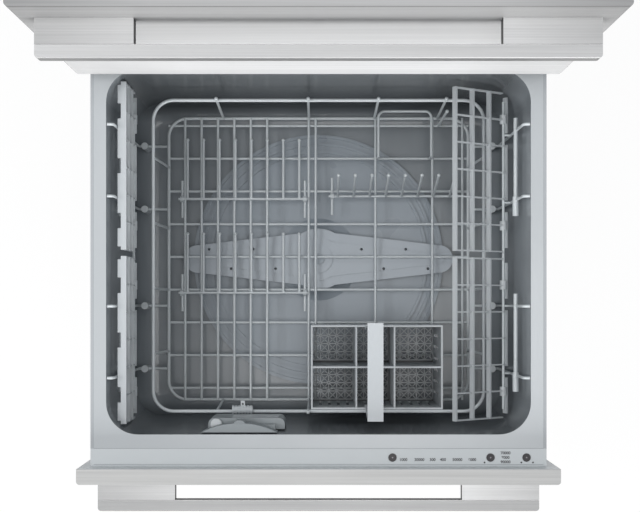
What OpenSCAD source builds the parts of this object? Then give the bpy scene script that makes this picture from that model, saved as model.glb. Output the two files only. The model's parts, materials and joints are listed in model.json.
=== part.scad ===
// Two-drawer dishwasher with its lower drawer pulled out.
// Millimetres, +Z up, +Y towards the back. The floor is z = 0, and the origin is the bottom
// centre of the whole machine with the lower drawer out. A drawer is drawn in its own frame:
// x from its middle, y from the face of its front, z from the top of the tub's rim.

/* [Tub] */
// Width of the tub's opening
opening_w = 531; // [500:1:560]
// Depth of the tub's opening, front to back
opening_d = 456; // [420:1:480]
// Corner radius of the opening
corner_r = 40; // [36:1:50]
// Wall thickness of the moulded tub
tub_wall = 3; // [2.5:0.5:4]
// Radius between the tub's walls and floor
floor_r = 28; // [20:1:30]
// How far the walls lean in from the rim to the floor
wall_draft = 4; // [2:0.5:6]
// Width of the flat rim beside and behind the opening
rim_side = 16; // [14:1:20]
// Width of the flat rim in front of the opening
rim_front = 17.5; // [15:0.5:24]
// Height of the wash unit that hangs under the tub's floor
wash_h = 56; // [48:1:64]

/* [Drawer fronts] */
// Height of each drawer front
front_h = 356; // [330:1:400]
// Gap between the two fronts
front_gap = 4; // [3:0.5:6]
// Thickness of a drawer front
front_t = 19; // [17:0.5:22]
// Thickness of the steel skin
skin_t = 1; // [0.8:0.1:1.2]
// Radius of the skin's upright edges
edge_r = 4; // [3:0.5:6]
// How far the rim lies below the top of the front
rim_drop = 24; // [22:1:28]
// Depth of the control strip
fascia_d = 22.5; // [20:0.5:26]
// Depth to which the control strip is folded down
fascia_h = 16; // [15:1:20]
// Wall of the control strip
fascia_t = 2.5; // [2:0.5:3]
// Diameter of a push button
button_d = 10; // [8:0.2:11]

/* [Handle] */
// Length of the handle bar
handle_w = 560; // [480:1:575]
// Height of the bar and its brackets
handle_h = 16; // [14:1:24]
// Front-to-back size of the bar
bar_d = 14; // [10:1:16]
// Finger space between the front and the bar
handle_gap = 26; // [22:1:36]
// Width of each bracket
bracket_w = 98; // [60:1:120]
// Distance from the front's top edge down to the handle
handle_drop = 48; // [28:1:60]

/* [Slides] */
// Width of the opening that stays covered when the drawer is out
tuck = 10.5; // [4:0.5:14]
// Room beside the drawer for its telescopic runner
runner_space = 11.8; // [11.6:0.1:13]
// Height of the fixed runner
runner_h = 44; // [40:1:50]
// Sheet thickness of the runners
runner_t = 1.4; // [1.2:0.1:1.6]
// Gap between one runner and the next
runner_gap = 0.6; // [0.4:0.1:0.7]
// Distance from the rim down to the middle of the runners
runner_drop = 75; // [60:1:100]
// Height of the drawer's side frames
frame_h = 150; // [120:1:180]
// Width of the side frame's top edge
frame_edge = 3.5; // [3:0.5:5]

/* [Cabinet] */
// Sheet thickness of the cabinet
sheet = 1.2; // [1:0.1:1.5]
// Height of the space under the lower front
kick_h = 100; // [90:1:120]
// Height of the base pan above the floor
foot_h = 50; // [40:1:60]
// Free space behind the drawers
back_space = 22; // [20:1:40]
// Depth of the recess behind the back panel
back_inset = 23; // [20:1:40]
// Thickness of the lids that close the tubs
lid_t = 12; // [10:1:14]
// Height that a lid is raised above the rim
lid_lift = 5; // [4:0.5:6]
// Diameter of the drain spigot
spigot_d = 19; // [17:1:21]
// Distance between the two fixing holes in the top panel
fixing_spacing = 500; // [440:10:540]

/* [Baskets] */
// Wire of the basket's rim and floor loops
loop_wire = 4.5; // [4:0.1:5]
// Wire of the basket's grid, tines and posts
grid_wire = 3.6; // [3:0.1:4]
// Spacing of the grid's cross wires, twice that of the long wires on its left
grid_pitch = 47; // [40:1:55]
// Height of the grid above the tub's floor
arm_space = 38; // [36:1:46]
// Distance from the rim down to the basket's rim loop
loop_drop = 108; // [100:1:120]
// Gap between the opening's side and the basket's rim loop
basket_gap_x = 45; // [42:1:55]
// Gap between the opening's front and the basket's rim loop
basket_gap_y = 20; // [20:1:26]
// Spacing of the folding tines
tine_pitch = 22.8; // [20:0.2:28]
// Length of the folding tines
tine_len = 84; // [60:1:90]

/* [Cup racks] */
// Greatest length of a cup rack, along the tub's side
rack_len = 213; // [180:1:230]
// Width of a cup rack, hinge to free edge
rack_w = 88; // [80:1:92]
// Thickness of a cup rack
rack_t = 7; // [6:0.5:8]
// Angle above level at which an opened cup rack rests
rack_rest = 36; // [30:1:45]
// Distance from the rim down to the cup racks' hinge
hinge_drop = 110; // [105:1:116]
// Spacing of a cup rack's cross ribs
rack_pitch = 35; // [28:1:50]

/* [Cutlery basket] */
// Width of the cutlery basket
cutlery_w = 176; // [150:1:180]
// Depth of the cutlery basket
cutlery_d = 112; // [90:1:118]
// Height of the cutlery basket
cutlery_h = 122; // [100:1:126]
// Wall of the cutlery basket
cutlery_wall = 2.2; // [1.8:0.1:3]
// Width of the cutlery basket's carrying strap
strap_w = 20; // [16:1:28]

/* [Hidden] */
$fn = 48;

// Heights
pitch = front_h + front_gap;
cabinet_h = kick_h + 2 * pitch;
lid_room = lid_lift + lid_t;
lid_clear = 14;
tub_h = pitch - wash_h - tub_wall - lid_room - lid_clear;

// Places along y in a drawer
liner_y = front_t + 0.5;
tub_y0 = front_t + fascia_d + 0.5;
opening_y0 = tub_y0 + rim_front;
opening_y1 = opening_y0 + opening_d;
opening_yc = (opening_y0 + opening_y1) / 2;
tub_y1 = opening_y1 + rim_side;
drawer_y1 = tub_y1 + sheet;
travel = opening_y1 - tuck;

// Places along x
drawer_w = opening_w + 2 * rim_side + 2 * frame_edge;
cabinet_w = drawer_w + 2 * (runner_space + sheet);
front_w = cabinet_w + 1;

// Cabinet, measured along y from the face of a shut front
cabinet_y0 = liner_y + 1;
back_y = drawer_y1 + back_space;
cabinet_y1 = back_y + sheet + back_inset;
handle_reach = handle_gap + bar_d;
front_y = (travel + handle_reach - cabinet_y1) / 2;
runner_y0 = cabinet_y0 + 4;
runner_len = drawer_y1 - runner_y0 - 4;

// Basket
loop_w = opening_w - 2 * basket_gap_x;
loop_y0 = opening_y0 + basket_gap_y;
loop_y1 = opening_y1 - basket_gap_y - 1;
loop_d = loop_y1 - loop_y0;
loop_yc = (loop_y0 + loop_y1) / 2;
loop_r = 27;
grid_z = arm_space - tub_h;
lean = 6;                        // how far the basket's sides lean in, rim to floor
floor_loop_w = loop_w - 2 * lean;
floor_loop_d = loop_d - 2 * lean;
post_x = opening_w / 2 - 8.5;
hinge_x = post_x - 10;
clearance = 0.3;
fit = 0.08;                      // radial clearance of what turns or slides on a pin
rack_gap = 8;
rack_end = 11;                   // kept free of the tub's rounded corners
rack_l = min(rack_len, (opening_d - rack_gap) / 2 - rack_end);
rack_yc = [for (s = [-1, 1]) opening_yc + s * (rack_l + rack_gap) / 2];
post_offset = 45;                // between a pair of posts and its middle
post_shift = [-2, 5];            // from the middle of each rack to that of its posts

STEEL = [0.74, 0.74, 0.72];
ALLOY = [0.80, 0.80, 0.80];
GREY = [0.72, 0.75, 0.77];
TUB_GREY = [0.36, 0.39, 0.42];
COATED = [0.80, 0.83, 0.84];
DARK = [0.16, 0.14, 0.16];
ZINC = [0.55, 0.57, 0.60];

// ---- Placing -------------------------------------------------------------------------

// Puts a drawer's pieces in the machine: level 0 is the lower bay and 1 the upper one.
module in_bay(level, out = 0) {
    translate([0, front_y - out, kick_h + front_h - rim_drop + level * pitch]) children();
}

// The lower drawer is drawn pulled out, the upper one shut.
module in_drawer(level) {
    in_bay(level, level == 0 ? travel : 0) children();
}

module both_sides() {
    children();
    mirror([1, 0, 0]) children();
}

// Runs a profile drawn in (x, z) along y, from y0 to y1.
module along_y(y0, y1) {
    translate([0, y1, 0]) rotate([90, 0, 0]) linear_extrude(y1 - y0) children();
}

// Runs a profile drawn in (y, z) along x, from x0 to x1.
module along_x(x0, x1) {
    translate([x0, 0, 0]) rotate([90, 0, 90]) linear_extrude(x1 - x0) children();
}

module block(low, high) {
    translate(low) cube(high - low);
}

// ---- Wire ----------------------------------------------------------------------------

module wire(from, to, d) {
    v = to - from;
    translate(from) rotate([0, acos(v[2] / norm(v)), atan2(v[1], v[0])])
        cylinder(d = d, h = norm(v), $fn = 24);
}

// A quarter bend of wire about the z axis.
module wire_bend(r, d) {
    rotate_extrude(angle = 90, $fn = 48) translate([r, 0]) circle(d = d, $fn = 24);
}

// A closed loop of wire with rounded corners, lying level.
module wire_loop(w, l, r, d) {
    for (turn = [0, 180]) rotate(turn) {
        wire([w / 2, r - l / 2, 0], [w / 2, l / 2 - r, 0], d);
        wire([r - w / 2, l / 2, 0], [w / 2 - r, l / 2, 0], d);
        translate([w / 2 - r, l / 2 - r, 0]) wire_bend(r, d);
        translate([r - w / 2, l / 2 - r, 0]) rotate(90) wire_bend(r, d);
    }
}

// ---- Drawer front --------------------------------------------------------------------

// Plan of a drawer front with rounded edges, made smaller all round by inset.
module front_plan(inset, back) {
    w = front_w / 2 - inset;
    r = edge_r - inset;
    translate([-w, inset + r]) square([2 * w, back - inset - r]);
    translate([r - w, inset]) square([2 * (w - r), back - inset]);
    for (x = [r - w, w - r]) translate([x, inset + r]) circle(r);
}

module front_skin() {
    color(STEEL) translate([0, 0, rim_drop - front_h]) difference() {
        linear_extrude(front_h) front_plan(0, front_t);
        translate([0, 0, skin_t]) linear_extrude(front_h - 2 * skin_t)
            front_plan(skin_t, front_t + 1);
    }
}

// A ribbed tray that closes the back of the skin.
module front_liner() {
    w = front_w / 2 - skin_t - clearance;
    top = rim_drop - skin_t - clearance;
    bottom = rim_drop - front_h + skin_t + clearance;
    tray_y = edge_r + skin_t;
    wall = 2.5;
    color(GREY) {
        difference() {
            block([-w, tray_y, bottom], [w, liner_y, top]);
            block([wall - w, tray_y - 1, bottom + wall], [w - wall, liner_y - wall, top - wall]);
        }
        for (x = [-2 : 2])
            block([x * w / 3 - wall / 2, tray_y, bottom + wall / 2],
                  [x * w / 3 + wall / 2, liner_y - wall / 2, top - wall / 2]);
    }
}

// The bar, rounded at its outer ends and bevelled along its edges.
module handle_bar() {
    r = 4;
    e = 0.9;
    w = handle_w / 2;
    back = bar_d - handle_reach;
    color(ALLOY) translate([0, 0, rim_drop - handle_drop - handle_h]) intersection() {
        linear_extrude(handle_h) {
            translate([-w, r - handle_reach]) square([2 * w, bar_d - r]);
            translate([r - w, -handle_reach]) square([2 * (w - r), bar_d]);
            for (x = [r - w, w - r]) translate([x, r - handle_reach]) circle(r);
        }
        along_x(-w, w) polygon([
            [-handle_reach, e], [e - handle_reach, 0], [back - e, 0], [back, e],
            [back, handle_h - e], [back - e, handle_h], [e - handle_reach, handle_h],
            [-handle_reach, handle_h - e]]);
    }
}

// A hollow spacer at each end of the bar, open behind the bar for its fixing screw.
module handle_brackets() {
    wall = 3;
    low = rim_drop - handle_drop - handle_h;
    color(ALLOY) both_sides() difference() {
        block([handle_w / 2 - bracket_w, -handle_gap, low], [handle_w / 2, 0, low + handle_h]);
        block([handle_w / 2 - bracket_w + wall, wall - handle_gap, low + wall],
              [handle_w / 2 - wall, 1, low + handle_h - wall]);
    }
}

// Middles of the three buttons: programme, option and power.
button_x = [92.5, 215, 260];
button_y = liner_y + fascia_d / 2;

module fascia() {
    w = drawer_w / 2;
    color(GREY) difference() {
        along_x(-w, w) difference() {
            translate([liner_y, -fascia_h]) square([tub_y0 - liner_y, fascia_h]);
            translate([liner_y + fascia_t, -fascia_h - 1])
                square([tub_y0 - liner_y - 2 * fascia_t, fascia_h + 1 - fascia_t]);
        }
        for (x = button_x) translate([x, button_y, -fascia_t - 1])
            cylinder(d = button_d + 2 * clearance, h = fascia_t + 2);
    }
}

// A push button with a flange that keeps it under the strip.
module button(i) {
    color(DARK) translate([button_x[i], button_y, 0]) {
        translate([0, 0, -fascia_t - clearance]) cylinder(d = button_d, h = fascia_t + 0.8);
        translate([0, 0, -fascia_t - 1.5]) cylinder(d = button_d + 3, h = 1.2);
        translate([0, 0, -10]) cylinder(d = 5, h = 8);
    }
}

// ---- Tub -----------------------------------------------------------------------------

// Half section of the bowl, measured out from the axis of a corner, grown by a wall.
module bowl_section(grow) {
    r = corner_r + grow;
    low = floor_r - tub_h;
    polygon([[0, 0], [r, 0], [r - wall_draft, low], [0, low]]);
    translate([0, -tub_h - grow]) square([corner_r - wall_draft - floor_r, floor_r + grow]);
    translate([corner_r - wall_draft - floor_r, low]) intersection() {
        circle(floor_r + grow);
        translate([0, -floor_r - grow]) square(floor_r + grow);
    }
}

module bowl_wall() {
    difference() {
        bowl_section(tub_wall);
        translate([0, 0.001]) bowl_section(0);
    }
}

module bowl() {
    across = opening_w - 2 * corner_r;
    along = opening_d - 2 * corner_r;
    for (turn = [0, 180]) rotate(turn) {
        translate([across / 2, 0, 0]) along_y(-along / 2, along / 2) bowl_wall();
        translate([across / 2, along / 2, 0]) rotate_extrude(angle = 90) bowl_wall();
        translate([0, along / 2, 0]) rotate(90) along_y(-across / 2, across / 2) bowl_wall();
        translate([-across / 2, along / 2, 0]) rotate(90) rotate_extrude(angle = 90) bowl_wall();
    }
    translate([-across / 2, -along / 2, -tub_h - tub_wall]) cube([across, along, tub_wall]);
}

// Plan of the opening, grown by a margin.
module opening_plan(grow) {
    r = corner_r + grow;
    w = opening_w + 2 * grow;
    d = opening_d + 2 * grow;
    square([w - 2 * r, d], center = true);
    square([w, d - 2 * r], center = true);
    for (x = [r - w / 2, w / 2 - r], y = [r - d / 2, d / 2 - r]) translate([x, y]) circle(r);
}

sump_r = 46;

module tub() {
    w = drawer_w / 2 - frame_edge;
    color(TUB_GREY) difference() {
        union() {
            translate([0, opening_yc, 0]) bowl();
            difference() {
                block([-w, tub_y0, -3], [w, tub_y1, 0]);
                translate([0, opening_yc, -4]) linear_extrude(5) opening_plan(tub_wall / 2);
            }
        }
        translate([0, opening_yc, -tub_h - tub_wall - 1]) cylinder(r = sump_r, h = tub_wall + 2);
    }
}

// Folded side rails with a cross piece behind the tub.
module side_frames() {
    x = drawer_w / 2;
    lip = 15;
    color(ZINC) {
        both_sides() {
            along_y(tub_y0, tub_y1) polygon([
                [x - frame_edge, 0], [x, 0], [x, -frame_h], [x - lip, -frame_h],
                [x - lip, sheet - frame_h], [x - sheet, sheet - frame_h],
                [x - sheet, -sheet], [x - frame_edge, -sheet]]);
            block([x - sheet, liner_y, -frame_h], [x, tub_y0, -fascia_h - clearance]);
        }
        block([-x, tub_y1, -60], [x, drawer_y1, 0]);
    }
}

// ---- Telescopic runners --------------------------------------------------------------

// A channel section on the right side, from x0 (open) to x1 (web), of half height h.
module channel(x0, x1, h) {
    difference() {
        translate([x0, -h]) square([x1 - x0, 2 * h]);
        translate([x0 - 1, runner_t - h]) square([x1 - x0 + 1 - runner_t, 2 * (h - runner_t)]);
    }
}

wall_x = cabinet_w / 2 - sheet;
middle_x = wall_x - runner_t - runner_gap;
inner_x = middle_x - runner_t - runner_gap;
step_h = runner_t + runner_gap;

module runner_at(level, shift) {
    in_bay(level, shift) translate([0, 0, -runner_drop]) both_sides() children();
}

module fixed_runners() {
    color(ZINC) for (level = [0, 1]) runner_at(level, 0) along_y(runner_y0, runner_y0 + runner_len)
        channel(drawer_w / 2 + 1.8, wall_x, runner_h / 2);
}

module middle_runners(level) {
    color(ZINC) runner_at(level, level == 0 ? travel / 2 : 0)
        along_y(runner_y0, runner_y0 + runner_len)
        channel(drawer_w / 2 + 2.4, middle_x, runner_h / 2 - step_h);
}

module inner_runners(level) {
    h = runner_h / 2 - 2 * step_h;
    color(ZINC) runner_at(level, level == 0 ? travel : 0)
        along_y(runner_y0, runner_y0 + runner_len) difference() {
            translate([drawer_w / 2, -h]) square([inner_x - drawer_w / 2, 2 * h]);
            translate([drawer_w / 2 + runner_t, runner_t - h])
                square([inner_x - drawer_w / 2, 2 * (h - runner_t)]);
        }
}

// ---- Washing parts -------------------------------------------------------------------

shaft_r = 8;
arm_z = -tub_h + 15;
arm_len = opening_d / 2 - 34;
arm_t = 8;
hub_h = 12;

// The moulded disc over the sump, with raised rings, and the post that the arm turns on.
module filter_plate() {
    plate_r = arm_len - 12;
    base = 3;
    ring = 4;
    color(GREY) translate([0, opening_yc, -tub_h]) {
        cylinder(r = plate_r, h = base, $fn = 120);
        for (i = [0 : 2]) rotate_extrude($fn = 120)
            translate([plate_r - 1 - ring - 11 * i, base - 1]) square([ring, 4]);
        cylinder(r1 = 70, r2 = 40, h = 9);
        cylinder(r1 = 40, r2 = 22, h = 13);
        cylinder(r = shaft_r, h = arm_z + tub_h + hub_h + 3);
    }
}

// Outline of a two-ended arm that narrows from its hub to its rounded tips.
module arm_plan(root, tip, len) {
    circle(root + 4);
    for (turn = [0, 180]) rotate(turn) {
        polygon([[0, -root], [len - tip, -tip], [len - tip, tip], [0, root]]);
        translate([len - tip, 0]) circle(tip);
    }
}

// A wide arm with a raised spine and nozzles along it.
module spray_arm() {
    root = 40;
    tip = 20;
    spine = 13;
    color(ALLOY) translate([0, opening_yc, arm_z]) difference() {
        union() {
            linear_extrude(arm_t) arm_plan(root, tip, arm_len);
            linear_extrude(arm_t + 2) arm_plan(root - spine, tip - spine, arm_len - spine);
            cylinder(r = 20, h = hub_h);
        }
        translate([0, 0, -1]) cylinder(r = shaft_r + fit, h = hub_h + 2);
        for (turn = [0, 180], i = [1 : 4]) rotate(turn)
            translate([30 + (arm_len - 50) * i / 4.5, i % 2 ? 14 : -14, -1])
                cylinder(r = 2, h = arm_t + 4);
    }
}

// Sump, motor and drain pump under the tub's floor.
module wash_unit() {
    r = 0.262 * opening_d;
    motor_r = 0.61 * r;
    top = 20;
    color(DARK) translate([0, opening_yc, -tub_h - tub_wall - wash_h]) {
        translate([0, 0, wash_h - top]) cylinder(r = r, h = top);
        cylinder(r = motor_r, h = wash_h - top);
        for (turn = [0 : 45 : 315]) rotate(turn)
            block([motor_r - 2, -2, 14], [r - 6, 2, wash_h - top + 1]);
        translate([0, motor_r - 12, 22]) rotate([-90, 0, 0]) {
            cylinder(r = 21, h = 70);
            cylinder(r = 10, h = 92);
        }
    }
}

dispenser_x = -0.188 * opening_w;
dispenser_w = 0.187 * opening_w;
dispenser_y = opening_y0 + 0.6;
dispenser_t = basket_gap_y - loop_wire / 2 - 1.45;
body_top = -42;
body_low = -102;
cup_x = -12;                     // the cup's left side, from the housing's middle
cup_w = 60;
cup_h = 48;
cup_low = -94;
cup_lid_t = 2.2;
lid_axis = dispenser_t - cup_lid_t;
barrel_r = 2;
lid_pin_r = 1.2;
cap_at = [-31, 8.7, body_top];
cap_r = 7.2;
stem_r = 4;

// The detergent and rinse-aid housing on the tub's front wall: an arch over a deeper body.
module dispenser() {
    w = dispenser_w;
    crest = 12.5;
    arch_low = -34;
    arch_top = -10;
    r = (w * w / 4 + crest * crest) / (2 * crest);
    left = 8 - w / 2;
    right = 7 + w / 2;
    corner = 8;
    c = clearance;
    color(GREY) translate([dispenser_x, dispenser_y, 0]) difference() {
        union() {
            translate([0, 0, arch_low]) linear_extrude(arch_top - arch_low) intersection() {
                translate([0, crest - r]) circle(r, $fn = 180);
                translate([-w / 2, 1]) square([w, crest]);
            }
            translate([0, 0, arch_low]) linear_extrude(arch_top - arch_low - 2) intersection() {
                translate([0, 7.5]) circle(8.6);
                translate([-w / 2, 1]) square([w, 2 * crest]);
            }
            translate([0, 0, body_low]) linear_extrude(body_top - body_low) intersection() {
                union() {
                    translate([left, 0]) square([right - left, dispenser_t - corner]);
                    translate([left + corner, 0]) square([right - left - 2 * corner, dispenser_t]);
                    for (x = [left + corner, right - corner])
                        translate([x, dispenser_t - corner]) circle(corner);
                }
                translate([left, 2]) square([right - left, dispenser_t]);
            }
            block([left + 30, 2, body_top - 1], [right - 12, 9, arch_low + 1]);
        }
        block([cup_x - c, lid_axis - c, cup_low], [cup_x + cup_w + c, 30, cup_low + cup_h + c]);
        block([cup_x - c, lid_axis - barrel_r - c, cup_low - barrel_r - c],
              [cup_x + cup_w + c, 30, cup_low + barrel_r + c]);
        block([cup_x + 4, 4, cup_low + 5], [cup_x + cup_w - 4, 30, cup_low + cup_h - 4]);
        translate([cup_x - 2, lid_axis, cup_low]) rotate([0, 90, 0])
            cylinder(r = lid_pin_r + fit, h = cup_w + 4);
        translate(cap_at - [0, 0, 12]) cylinder(r = stem_r + fit, h = 20);
    }
}

// The detergent cup's lid, with its barrel and pins along the lower edge.
module dispenser_lid() {
    color(COATED) translate([dispenser_x + cup_x, dispenser_y + lid_axis, cup_low]) {
        block([0, 0, 0], [cup_w, cup_lid_t - 0.2, cup_h]);
        rotate([0, 90, 0]) cylinder(r = barrel_r, h = cup_w);
        translate([-1.6, 0, 0]) rotate([0, 90, 0]) cylinder(r = lid_pin_r, h = cup_w + 3.2);
    }
}

// The screw cap of the rinse-aid tank, turning on its stem.
module rinse_cap() {
    color(GREY) translate([dispenser_x, dispenser_y, 0]) translate(cap_at) {
        translate([0, 0, -10]) cylinder(r = stem_r, h = 11);
        translate([0, 0, clearance]) cylinder(r = cap_r, h = 5);
        block([-cap_r + 1, -1.2, 5], [cap_r - 1, 1.2, 7]);
    }
}

// ---- Basket --------------------------------------------------------------------------

floor_loop_z = grid_z - 0.4 * grid_wire;
cross_z = grid_z - 0.8 * grid_wire;
grid_yc = 3;                     // middle of the cross wires, behind that of the loops

ball_d = grid_wire + 1.4;

// A wire with a ball on its free end.
module ball_wire(from, to) {
    wire(from, to, grid_wire);
    translate(to) sphere(d = ball_d, $fn = 24);
}

// A low bail on two legs.
module bail(x0, x1, y0, y1, z) {
    r = 9;
    for (x = [x0, x1]) {
        wire([x, y0, cross_z], [x, y0, z], grid_wire);
        translate([x, y0, z]) sphere(d = grid_wire, $fn = 24);
        wire([x, y0, z], [x, y1 - r, z], grid_wire);
    }
    wire([x0 + r, y1, z], [x1 - r, y1, z], grid_wire);
    translate([x1 - r, y1 - r, z]) wire_bend(r, grid_wire);
    translate([x0 + r, y1 - r, z]) rotate(90) wire_bend(r, grid_wire);
}

// The floor loop with the grid that the dishes stand on: close wires on the left only.
module basket_floor(rows) {
    w = floor_loop_w;
    ny = floor((floor_loop_d / 2 - 10) / grid_pitch);
    back = grid_yc + ny * grid_pitch;
    half_x = w / 2 + 0.5;
    half_y = floor_loop_d / 2 + 0.5;
    close_x = [for (i = [1 : 6]) (i * grid_pitch - w) / 2];
    long_x = concat(close_x, [-14, -4, 0.19 * w, 0.38 * w, w / 2 - 8.5]);
    color(COATED) translate([0, loop_yc, 0]) {
        translate([0, 0, floor_loop_z]) wire_loop(w, floor_loop_d, loop_r, loop_wire);
        for (x = long_x) wire([x, -half_y, grid_z], [x, half_y, grid_z], grid_wire);
        for (j = [-ny : ny]) translate([0, grid_yc + j * grid_pitch, cross_z])
            wire([-half_x, 0, 0], [half_x, 0, 0], grid_wire);
        bail(last_tine - 4.5 * tine_pitch, last_tine - tine_pitch - bail_gap,
             back - grid_pitch, loop_d / 2 - 0.5, grid_z + 30);
        ball_wire([0.4 * w, back, cross_z], [0.41 * w, back + 8, grid_z + 82]);
    }
    color(COATED) for (row = rows) tine_clips(row);
}

loop_gap = 0.5;

// One upright, from just above the floor loop to the rim loop or a little past it.
module upright(x, y0, y1, past) {
    from = [x[0], y0, floor_loop_z + loop_wire / 2 + loop_gap];
    to = [x[1], y1, -loop_drop];
    if (past)
        ball_wire(from, to + 0.08 * (to - from));
    else
        wire(from, to, grid_wire);
}

// The rim loop and its leaning uprights.
module basket_sides(front_clear) {
    y0 = floor_loop_d / 2;
    y1 = loop_d / 2;
    color(COATED) translate([0, loop_yc, 0]) {
        translate([0, 0, -loop_drop]) wire_loop(loop_w, loop_d, loop_r, loop_wire);
        for (x = floor_loop_w * [-0.317, -0.032, 0.186, 0.396]) {
            upright([x, x], y0, y1, true);
            if (x < front_clear[0] || x > front_clear[1]) upright([x, x], -y0, -y1, x > -40);
        }
        for (i = [-1.5 : 1.5], side = [-1, 1])
            upright(side * [floor_loop_w, loop_w] / 2, i * y0 / 2.3, i * y0 / 2.3, false);
    }
}

stub_wire = 0.8 * grid_wire;      // between a post and the cup racks' rod
foot_r = 5;
foot_x = post_x - 9;
floor_curve_x = opening_w / 2 - wall_draft - floor_r;
foot_out = foot_x + foot_r - floor_curve_x;
foot_low = floor_r - tub_h - sqrt(floor_r * floor_r - foot_out * foot_out) + 1;

// One post: out from the floor loop over a foot, up beside the wall and over to the rim.
module rack_post() {
    top_r = 5;
    top = -4;
    foot_over = 8;
    r = post_x - foot_x;
    wire([(floor_loop_w + loop_wire) / 2 + 0.2, 0, grid_z], [foot_x, 0, grid_z], grid_wire);
    translate([foot_x, 0, grid_z + r]) rotate([90, 0, 0]) rotate(-90) wire_bend(r, grid_wire);
    wire([post_x, 0, grid_z + r], [post_x, 0, top - top_r], grid_wire);
    translate([post_x + top_r, 0, top - top_r]) rotate([90, 0, 0]) rotate(90)
        wire_bend(top_r, grid_wire);
    wire([post_x + top_r, 0, top], [opening_w / 2 - 0.6, 0, top], grid_wire);
    wire([post_x - grid_wire / 4, 0, -hinge_drop], [hinge_x, 0, -hinge_drop], stub_wire);
    translate([foot_x, 0, foot_low]) cylinder(r = foot_r, h = grid_z + foot_over - foot_low);
}

// The posts of one side, the rod that its cup racks turn on, and a rail with a sleeve for each.
module side_posts() {
    rail = 5.5;
    rail_z = -62;
    sleeve = 8;
    for (i = [0, 1]) translate([0, rack_yc[i] + post_shift[i], 0]) {
        for (s = [-1, 1]) translate([0, s * post_offset, 0]) rack_post();
        translate([post_x - 1, 0, rail_z]) {
            wire([0, -post_offset - 20, 0], [0, post_offset + 16, 0], rail);
            wire([0, -post_offset - 21, 0], [0, 4 - post_offset, 0], sleeve);
        }
    }
    wire([hinge_x, rack_yc[0] - rack_l / 2 + 12, -hinge_drop],
         [hinge_x, rack_yc[1] + rack_l / 2 - 12, -hinge_drop], grid_wire);
}

module rack_posts() {
    color(COATED) both_sides() side_posts();
}

tine_z = grid_z + (grid_wire + ball_d) / 2 + clearance;
tine_count = floor((floor_loop_w / 2 - 44) / tine_pitch) + 1;
tine_span = (tine_count - 1) * tine_pitch;
last_tine = floor_loop_w / 4 + tine_span / 2;
bail_gap = (grid_wire + ball_d) / 2 + 1;
clip_x = tine_span / 2 + 8;      // a clip at each end of a row's rod
clip_t = 5;

// The middles of the three rows: left front, left back and right.
row_at = [
    [-floor_loop_w / 4, opening_yc - 49, tine_z],
    [-floor_loop_w / 4, opening_yc + 85, tine_z],
    [floor_loop_w / 4, opening_yc + 89, tine_z]];

// A row of tines lying back on its rod, then raised.
module tine_row(row, raised) {
    color(COATED) translate(row_at[row]) rotate([raised, 0, 0]) {
        wire([-clip_x - clip_t, 0, 0], [clip_x + clip_t, 0, 0], grid_wire);
        for (i = [0 : tine_count - 1]) {
            x = i * tine_pitch - tine_span / 2;
            ball_wire([x, 0, 0], [x, tine_len, 0]);
        }
    }
}

// A pair of bearings for a row's rod, each on a wire that crosses the grid's cross wires.
module tine_clips(row) {
    r = grid_wire / 2 + 2.4;
    reach = grid_pitch / 2 + 3;
    under = tine_z - grid_z;
    translate(row_at[row]) for (s = [-1, 1]) translate([s * clip_x, 0, 0]) {
        wire([0, -reach, -under], [0, reach, -under], grid_wire);
        translate([-clip_t / 2, 0, 0]) rotate([90, 0, 90]) linear_extrude(clip_t) difference() {
            union() {
                circle(r);
                translate([-r, -under]) square([2 * r, under]);
            }
            circle(grid_wire / 2 + fit);
        }
    }
}

// ---- Cup racks -----------------------------------------------------------------------

// A rack standing up on the right side, drawn from its hinge axis: z is its width.
module cup_rack_body(tabs) {
    bar = 2.6;
    rib = 1.8;
    ribs = round(rack_l / rack_pitch);
    step = (rack_l - rib) / ribs;
    low = -5;
    half = rack_l / 2;
    rod_r = grid_wire / 2 + clearance;
    notch_r = 7.8;               // room in the lowest bar for the posts and their stubs
    knuckle = 12;
    knuckle_y = half * 2 / 3;
    difference() {
        union() {
            for (i = [0 : 3]) {
                z = low + i * (rack_w - low - bar) / 3;
                end = i == 0 ? half - 6 : half;
                block([-rack_t / 2, -end, z], [rack_t / 2, end, z + bar]);
            }
            for (i = [0 : ribs]) translate([0, i * step - half, 0])
                block([1 - rack_t / 2, 0, rod_r + 0.5], [rack_t / 2 - 1, rib, rack_w]);
            for (i = [1 : ribs - 1]) translate([0, i * step - half, 0]) difference() {
                block([-rack_t / 2, 0, low], [rack_t / 2, rib, -low]);
                rotate([90, 0, 0]) cylinder(r = rod_r, h = 3 * rib, center = true);
            }
            if (tabs) for (s = [0, 1], part = [[0.09, 0.56], [0.745, 0.96]])
                mirror([0, s, 0]) block([rack_t / 2 - 1, part[0] * half, rack_w - 7.5],
                                        [rack_t / 2 + 4, part[1] * half, rack_w]);
            for (s = [-1, 1]) translate([0, s * knuckle_y, 0]) {
                rotate([90, 0, 0]) cylinder(d = grid_wire + 6, h = knuckle, center = true);
                block([-rack_t / 2, -knuckle / 2, low], [rack_t / 2, knuckle / 2, 0]);
            }
        }
        for (s = [-1, 1]) translate([0, s * post_offset, 0])
            block([-rack_t, -notch_r, low - 1], [rack_t, notch_r, -low]);
        for (s = [-1, 1]) translate([0, s * knuckle_y, 0]) rotate([90, 0, 0])
            cylinder(d = grid_wire + 2 * fit, h = knuckle + 4, center = true);
    }
}

// side is 1 on the right; fold is how far the rack is turned in from upright.
module cup_rack(side, place, fold) {
    color(COATED) mirror([side < 0 ? 1 : 0, 0, 0])
        translate([hinge_x, rack_yc[place], -hinge_drop]) rotate([0, -fold, 0])
            cup_rack_body(side < 0);
}

// ---- Cutlery basket ------------------------------------------------------------------

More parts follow.
